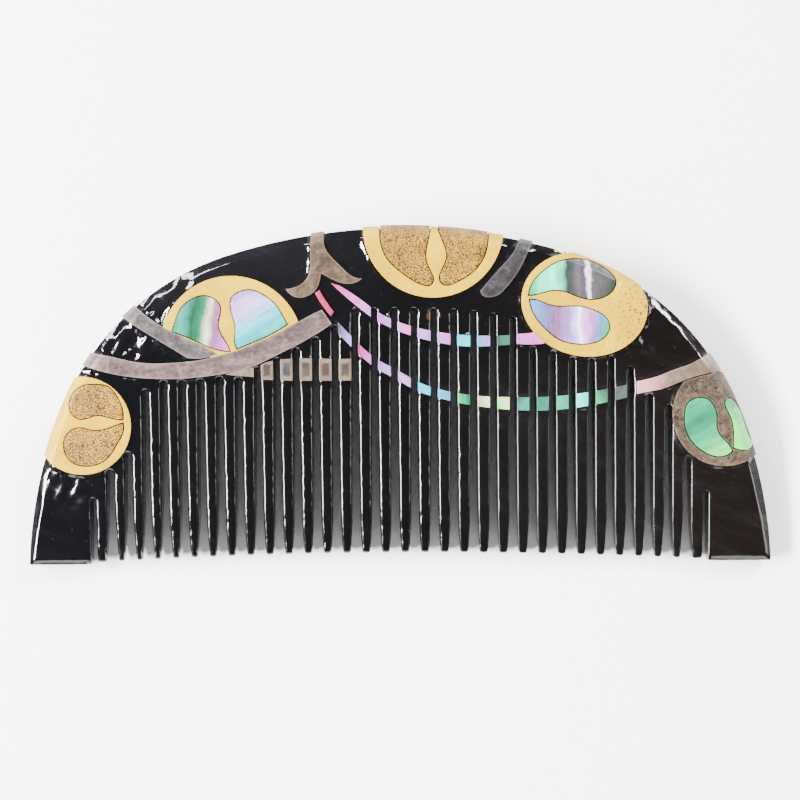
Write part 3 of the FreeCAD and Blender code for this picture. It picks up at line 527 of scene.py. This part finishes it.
def board_boundary(roots):
    """Closed outline of the board, counter-clockwise from the left foot, and which points are on the rim."""
    points, on_rim = [], []

    def put(x, y, rim=False):
        points.append(Vector((x, y)))
        on_rim.append(rim)

    guard = cut_width(0, 0) / 2
    for x in np.arange(-HALF, gap_middle(0) - guard - 0.3, FOOT_STEP):
        put(x, 0.0, True)
    for k, top in enumerate(roots):
        middle, half = gap_middle(k), cut_width(k, top) / 2
        levels = [y for y in np.arange(math.floor(top), LOWEST_LEVEL, -LEVEL_STEP) if y < top - half - 0.3]
        levels = [top - half] + levels
        for x, y in cut_end(k, -1):
            put(x, y)
        for y in reversed(levels):
            put(middle - cut_width(k, y) / 2, y)
        for angle in np.linspace(math.pi, 0.0, 9)[1:-1]:
            put(middle + half * math.cos(angle), top - half + half * math.sin(angle))
        for y in levels:
            put(middle + cut_width(k, y) / 2, y)
        for x, y in reversed(cut_end(k, 1)):
            put(x, y)
        if k < GAPS - 1:
            tooth = (middle + gap_middle(k + 1)) / 2
            put(tooth, tip_level(tooth) - 0.02)
    for x in np.arange(gap_middle(GAPS - 1) + guard + 0.6, HALF - 0.1, FOOT_STEP):
        put(x, 0.0, True)
    for p in silhouette(FOOT_STEP)[:-1]:
        put(p.x, p.y, True)
    return points, on_rim


def dense(points, flags, wanted):
    """The stretches of a closed outline whose flag is wanted, as points close together."""
    out = []
    count = len(points)
    for i in range(count):
        a, b = points[i], points[(i + 1) % count]
        if (flags[i] and flags[(i + 1) % count]) == wanted:
            pieces = max(1, int((b - a).length / CLOSE_STEP))
            out += [a.lerp(b, j / pieces) for j in range(pieces)]
    return out


def root_level(k):
    """Top of saw cut k, read from the CAD board."""
    middle = gap_middle(k)
    reach = min(abs(middle) / ARCH_WIDTH, 0.99)
    limit = ARCH_RISE * (1 - reach ** ARCH_POWER) ** (1 / ARCH_POWER) + 0.3
    return max(y for x, y in BOARD_POINTS if abs(x - middle) < 0.25 and 4.0 < y < limit)


def soft_drop(inside, width, softness):
    """Depth of a 45 degree bevel at a distance inside the rim, with a softened crease."""
    left = width - inside
    return (left + math.sqrt(left * left + softness * softness)) / 2


def edge_radius(x):
    """The saw cuts are well rounded over at the left and crisper towards the right."""
    part = min(max((x - CRISP_FROM) / CRISP_OVER, 0.0), 1.0)
    return EDGE + (CRISP_EDGE - EDGE) * part


def rounding(inside, radius):
    """Depth of a rounded edge at a distance inside it."""
    if inside >= radius:
        return 0.0
    return radius - math.sqrt(max(radius ** 2 - (radius - inside) ** 2, 0.0))


def tip_thinning(x, y):
    """How much each face is cut away near the tips of the teeth."""
    if y >= TIP_RUN or not gap_middle(0) < x < gap_middle(GAPS - 1):
        return 0.0
    return TIP_THIN * (TIP_RUN - y) / TIP_RUN


def rim_width(x, y):
    """The bevel narrows towards the guard ends."""
    return BEVEL - NARROWER * max(0.0, 1 - y / NARROW_BELOW)


RIPPLE_HEIGHT = 0.40
RIPPLES = (                                # uneven lacquer beside the inlays: x, y, radius, strength
    (-35.1, 29.5, 3.6, 1.7), (-32.9, 33.8, 1.9, 1.5), (-40.5, 25.9, 1.3, 1.0), (-44.6, 10.4, 2.6, 1.6),
    (-13.4, 40.6, 1.2, 0.8), (-9.2, 40.6, 1.3, 0.8), (-5.0, 41.6, 1.4, 0.8), (13.0, 40.6, 1.2, 0.8),
    (17.3, 40.3, 1.3, 0.9), (16.4, 33.6, 1.8, 0.6), (34.0, 33.0, 1.5, 0.6), (32.2, 29.0, 2.2, 1.3),
    (36.2, 30.4, 0.9, 0.9), (-28.5, 38.2, 1.2, 0.7), (40.8, 22.6, 1.4, 0.6), (8.8, 19.1, 0.7, 1.0),
    (27.6, 25.8, 0.5, 0.8),
)


def pooling(x, y):
    """How much the lacquer has pooled and rounded the crease of the rim, 0 to 1."""
    near = 0.0
    for place_x, place_y, radius, strength in RIPPLES:
        away = ((x - place_x) ** 2 + (y - place_y) ** 2) / (1.3 * radius) ** 2
        if away < 5:
            near = max(near, strength * math.exp(-away * away))
    return min(near, 1.0)


def ripple(x, y):
    """Height of the uneven patches of lacquer."""
    height = 0.0
    turn = math.radians(48 if x < 0 else -48)
    along = x * math.cos(turn) + y * math.sin(turn)
    across = y * math.cos(turn) - x * math.sin(turn)
    for place_x, place_y, radius, strength in RIPPLES:
        away = ((x - place_x) ** 2 + (y - place_y) ** 2) / radius ** 2
        if away < 5:
            wave = noise.noise((along * 0.40, across * 0.85, 31.0))
            wave += 0.20 * noise.noise((x * 2.2, y * 2.2, 7.0))
            height += RIPPLE_HEIGHT * strength * math.exp(-away) * wave
    return height


def board_front(x, y, to_cut, to_rim, to_inlay, bare):
    """Height of the front at a place, from its distances to the nearest saw cut, rim and inlay."""
    height = front_height(y) - tip_thinning(x, y) + ripple(x, y) * bare
    steep = 1.0 - GENTLER * bare
    edge = edge_radius(x) * (1 + 0.28 * noise.noise((x * 0.8, y * 0.9, 13.0)))
    softness = 0.10 + (0.85 * bare * pooling(x, y) if to_rim < 5 else 0.0)
    height -= soft_drop(to_rim, rim_width(x, y), softness) * steep + rounding(to_cut, edge)
    if to_cut < SAG_REACH:
        height -= SAG * (1 - to_cut / SAG_REACH) ** 2
    if to_inlay < 1.6:
        wobble = noise.noise((x * 0.9, y * 0.9, 3.0)) * 0.6 + noise.noise((x * 2.6, y * 2.6, 9.0)) * 0.35
        reach = LIP_REACH + 0.20 * noise.noise((x * 0.7, y * 0.7, 20.0))
        height += min(LIP * (1 + wobble), LIP_LIMIT) * math.exp(-(to_inlay / reach) ** 2)
    height += 0.020 * noise.noise((x * 0.45, y * 0.45, 0.0)) + 0.004 * noise.noise((x * 2.2, y * 1.1, 5.0))
    return height


def board_back(x, y, to_cut, to_rim):
    """Height of the back: flat, with the same bevel and soft edges."""
    return tip_thinning(x, y) + soft_drop(to_rim, rim_width(x, y), 0.10) + rounding(to_cut, edge_radius(x))


def rows_inside(boundary, cut_tree, rim_tree):
    """Rows of points just inside the outline, to carry the bevel and the rounded edges."""
    rows = []
    count = len(boundary)
    for i in range(count):
        before, here, after = boundary[i - 1], boundary[i], boundary[(i + 1) % count]
        onward = (here - before).normalized() + (after - here).normalized()
        inward = Vector((-onward.y, onward.x)).normalized()
        for step in RIM_ROWS if ON_RIM[i] else CUT_ROWS:
            p = here + inward * step
            if min(distance(cut_tree, *p), distance(rim_tree, *p)) > step * 0.93:
                rows.append(p)
    return rows


def grid(spacing):
    """A grid of triangles' corners over the whole comb."""
    for row, y in enumerate(np.arange(0.2, HEIGHT, spacing * 0.87)):
        for x in np.arange(-HALF + (row % 2) * spacing / 2, HALF, spacing):
            yield x, y


def grid_points(inlay_tree):
    """The front's grid is finer near the inlays. The back, which has no tree of inlays, has one even grid."""
    if inlay_tree is None:
        return list(grid(BACK_GRID))
    far = [p for p in grid(FAR_GRID) if distance(inlay_tree, *p) >= NEAR_INLAY]
    return far + [p for p in grid(NEAR_GRID) if distance(inlay_tree, *p) < NEAR_INLAY]


def scan_lines(boundary):
    """Where the outline crosses each level, to tell whether a point lies inside it."""
    lines = {}
    count = len(boundary)
    for i in range(count):
        a, b = boundary[i], boundary[(i + 1) % count]
        low, high = sorted((a.y, b.y))
        for row in range(math.ceil(low / SCAN), math.floor(high / SCAN) + 1):
            y = row * SCAN
            if a.y != b.y and low <= y < high:
                lines.setdefault(row, []).append(a.x + (b.x - a.x) * (y - a.y) / (b.y - a.y))
    return {row: sorted(crossings) for row, crossings in lines.items()}


def is_inside(lines, x, y):
    return bisect.bisect(lines.get(round(y / SCAN), []), x) % 2 == 1


def sheet(boundary, cut_tree, rim_tree, inlay_tree):
    """One face of the board as flat triangles. Gives the points, the triangles and each point's sources."""
    lines = scan_lines(boundary)
    kept = list(boundary)
    kept += [p for p in rows_inside(boundary, cut_tree, rim_tree) if is_inside(lines, p.x, p.y)]
    for x, y in grid_points(inlay_tree):
        clear = distance(cut_tree, x, y) > CLEAR_OF_CUT and distance(rim_tree, x, y) > CLEAR_OF_RIM
        if clear and is_inside(lines, x, y):
            kept.append(Vector((x, y)))
    count = len(boundary)
    loop = [(i, (i + 1) % count) for i in range(count)]
    out = delaunay_2d_cdt(kept, loop, [list(range(count))], 1, 1e-6)
    return out[0], out[2], out[3]


def inlay_cover():
    """All the raised pieces as one tree of faces, in drawing millimetres."""
    vertices, faces = [], []
    for node in INLAYS:
        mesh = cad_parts[node].data
        base = len(vertices)
        vertices += [(v.co.x / MM, v.co.y / MM - Y_SHIFT, v.co.z / MM) for v in mesh.vertices]
        faces += [[base + v for v in face.vertices] for face in mesh.polygons]
    return BVHTree.FromPolygons(vertices, faces)


def bareness(cover, x, y, to_inlay):
    """0 under the raised pieces, 1 where the lacquer is bare, with a short step between."""
    if to_inlay > 8.0:
        return 1.0
    if cover.ray_cast((x, y, 30.0), (0, 0, -1))[0] is not None:
        return 0.0
    return min(max((to_inlay - SEAT) / 0.6, 0.0), 1.0)


def add_face(vertices, faces, trees, cover):
    """Add the front of the board, or its back if there is no cover. Gives the outline's vertices in order."""
    cut_tree, rim_tree, inlay_tree = trees
    front = cover is not None
    flat, triangles, origins = sheet(BOUNDARY, cut_tree, rim_tree, inlay_tree)
    base = len(vertices)
    ring = [None] * len(BOUNDARY)
    for i, ((x, y), sources) in enumerate(zip(flat, origins)):
        to_cut, to_rim = distance(cut_tree, x, y), distance(rim_tree, x, y)
        edge = min((s for s in sources if s < len(BOUNDARY)), default=None)
        if edge is not None:
            ring[edge] = base + i
            to_cut, to_rim = (to_cut, 0.0) if ON_RIM[edge] else (0.0, to_rim)
        if front:
            to_inlay = distance(inlay_tree, x, y)
            bare = bareness(cover, x, y, to_inlay)
            vertices.append((x, y, board_front(x, y, to_cut, to_rim, to_inlay, bare)))
        else:
            vertices.append((x, y, board_back(x, y, to_cut, to_rim)))
    for triangle in triangles:
        corners = [base + i for i in triangle]
        faces.append(corners if front else corners[::-1])
    return ring


def add_walls(vertices, faces, upper_ring, lower_ring):
    """Join the front to the back along the outline, with rows close to both edges."""
    count = len(upper_ring)
    rows = [upper_ring]
    for part in (0.06, 0.35, 0.65, 0.94):
        start = len(vertices)
        for i in range(count):
            high, low = vertices[upper_ring[i]], vertices[lower_ring[i]]
            vertices.append((high[0], high[1], high[2] + (low[2] - high[2]) * part))
        rows.append(list(range(start, start + count)))
    rows.append(lower_ring)
    for upper, lower in zip(rows, rows[1:]):
        for i in range(count):
            j = (i + 1) % count
            faces.append((upper[i], lower[i], lower[j], upper[j]))


def build_board():
    """The lacquered board as one closed mesh with soft edges, standing in for the CAD board."""
    cut_tree, rim_tree = (tree_of(dense(BOUNDARY, ON_RIM, wanted)) for wanted in (False, True))
    inlay_tree = tree_of([Vector((p.x, p.y - Y_SHIFT)) for p in mesh_outline(INLAYS)])
    vertices, faces = [], []
    upper_ring = add_face(vertices, faces, (cut_tree, rim_tree, inlay_tree), inlay_cover())
    lower_ring = add_face(vertices, faces, (cut_tree, rim_tree, None), None)
    add_walls(vertices, faces, upper_ring, lower_ring)
    mesh = bpy.data.meshes.new("comb_board")
    mesh.from_pydata([(x * MM, (y + Y_SHIFT) * MM, z * MM) for x, y, z in vertices], [], faces)
    mesh.validate()
    mesh.shade_smooth()
    board = bpy.data.objects.new("comb_board", mesh)
    bpy.context.scene.collection.objects.link(board)
    return board


def is_crease(edge):
    """True for the line where a plate folds over the rim's bevel."""
    if len(edge.link_faces) != 2 or not 0.6 < edge.calc_face_angle(0.0) < 0.95:
        return False
    return all(face.normal.z > 0.5 for face in edge.link_faces)


def soften(work, edges, width, segments):
    bmesh.ops.bevel(work, geom=edges, offset=width * MM, segments=segments, profile=0.5, affect="EDGES",
                    clamp_overlap=True)


def soft_copy(node):
    """A CAD plate as a piece of its own, with a small rounded edge all round and a soft fold at the rim."""
    work = bmesh.new()
    work.from_mesh(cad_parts[node].data)
    bmesh.ops.remove_doubles(work, verts=work.verts, dist=1e-7)
    bmesh.ops.dissolve_limit(work, angle_limit=math.radians(1.0), verts=work.verts, edges=work.edges)
    creases = [e for e in work.edges if is_crease(e)]
    if creases:
        soften(work, creases, CREASE_WIDTH, 5)
    sharp = [e for e in work.edges if len(e.link_faces) == 2 and e.calc_face_angle(0.0) > math.radians(50)]
    soften(work, sharp, SOFT_WIDTH, 3)
    bmesh.ops.triangulate(work, faces=[f for f in work.faces if len(f.verts) > 4])
    mesh = bpy.data.meshes.new(node + "_piece")
    work.to_mesh(mesh)
    work.free()
    mesh.shade_smooth()
    mesh.set_sharp_from_angle(angle=math.radians(40))
    piece = bpy.data.objects.new(node + "_piece", mesh)
    bpy.context.scene.collection.objects.link(piece)
    even = piece.modifiers.new("even_normals", "WEIGHTED_NORMAL")
    even.keep_sharp = True
    even.weight = 100
    return piece


BOARD_POINTS = [(v.co.x / MM, v.co.y / MM - Y_SHIFT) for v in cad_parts["comb_body"].data.vertices]
BOUNDARY, ON_RIM = board_boundary([root_level(k) for k in range(GAPS)])
INLAYS = sorted(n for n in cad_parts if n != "comb_body")

board = build_board()
board.data.materials.append(LOOKS["comb_body"])
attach(board, "root")
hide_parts("comb_body")

for inlay in INLAYS:
    piece = soft_copy(inlay)
    piece.data.materials.append(LOOKS[inlay])
    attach(piece, "root")
    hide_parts(inlay)


# ---------------------------------------------------------------- stage
DISTANCE = 0.30                            # from the camera to the comb's face, metres
WIDTH_SEEN = 0.10788                       # width of the picture at that distance, metres
FACE_HEIGHT = 0.003
AIM = (0.000104, -0.00069)                 # the place straight under the camera
CAMERA_TURN = -0.00664                     # the comb lies slightly turned in the view, radians
HORIZON, OVERHEAD = (0.16, 1.0), (0.27, 0.09)      # how high on the sky, and how bright


def area_light(name, place, size, power):
    """A rectangular lamp that points at the comb."""
    data = bpy.data.lights.new(name, "AREA")
    data.shape = "RECTANGLE"
    data.size, data.size_y = size
    data.energy = power
    lamp = bpy.data.objects.new(name, data)
    lamp.location = place
    lamp.rotation_euler = (-Vector(place)).to_track_quat("-Z", "Y").to_euler()
    bpy.context.scene.collection.objects.link(lamp)


def make_floor():
    bpy.ops.mesh.primitive_plane_add(size=3.0, location=(0, 0, -0.00002))
    floor = bpy.context.object
    floor.name = "floor"
    n = Nodes("pale_floor")
    tone = n.ramp(n.noise(6.0, 3.0), [(0.3, (0.90, 0.895, 0.90)), (0.7, (0.93, 0.925, 0.93))])
    floor.data.materials.append(n.finish(Base_Color=tone, Roughness=0.8))


def make_sky():
    """Soft light from all round, bright near the horizon and dim overhead."""
    world = bpy.data.worlds.new("studio")
    bpy.context.scene.world = world
    world.use_nodes = True
    nodes, links = world.node_tree.nodes, world.node_tree.links
    background = nodes["Background"]
    direction = nodes.new("ShaderNodeTexCoord")
    upward = nodes.new("ShaderNodeSeparateXYZ")
    sky = nodes.new("ShaderNodeValToRGB")
    links.new(direction.outputs["Generated"], upward.inputs[0])
    links.new(upward.outputs["Z"], sky.inputs["Fac"])
    links.new(sky.outputs["Color"], background.inputs["Color"])
    for stop, (height, level) in zip(sky.color_ramp.elements, (HORIZON, OVERHEAD)):
        stop.position = height
        stop.color = (0.97 * level, 0.98 * level, level, 1.0)
    background.inputs["Strength"].default_value = 1.5


def make_camera():
    data = bpy.data.cameras.new("camera")
    camera = bpy.data.objects.new("camera", data)
    bpy.context.scene.collection.objects.link(camera)
    bpy.context.scene.camera = camera
    data.sensor_width = 36.0
    data.lens = data.sensor_width * DISTANCE / WIDTH_SEEN
    data.clip_start = 0.01
    camera.location = (*AIM, FACE_HEIGHT + DISTANCE)
    camera.rotation_euler = (0.0, 0.0, CAMERA_TURN)


make_floor()
make_sky()
area_light("left", (-0.62, -0.05, 0.50), (0.60, 0.17), 55.0)
area_light("far_left", (-0.48, 0.48, 0.50), (0.40, 0.16), 10.0)
area_light("right", (0.70, 0.02, 0.42), (0.40, 0.30), 3.0)
area_light("far_right", (0.50, 0.50, 0.50), (0.45, 0.25), 24.0)
area_light("near", (0.0, -0.85, 0.36), (0.9, 0.3), 5.0)
make_camera()
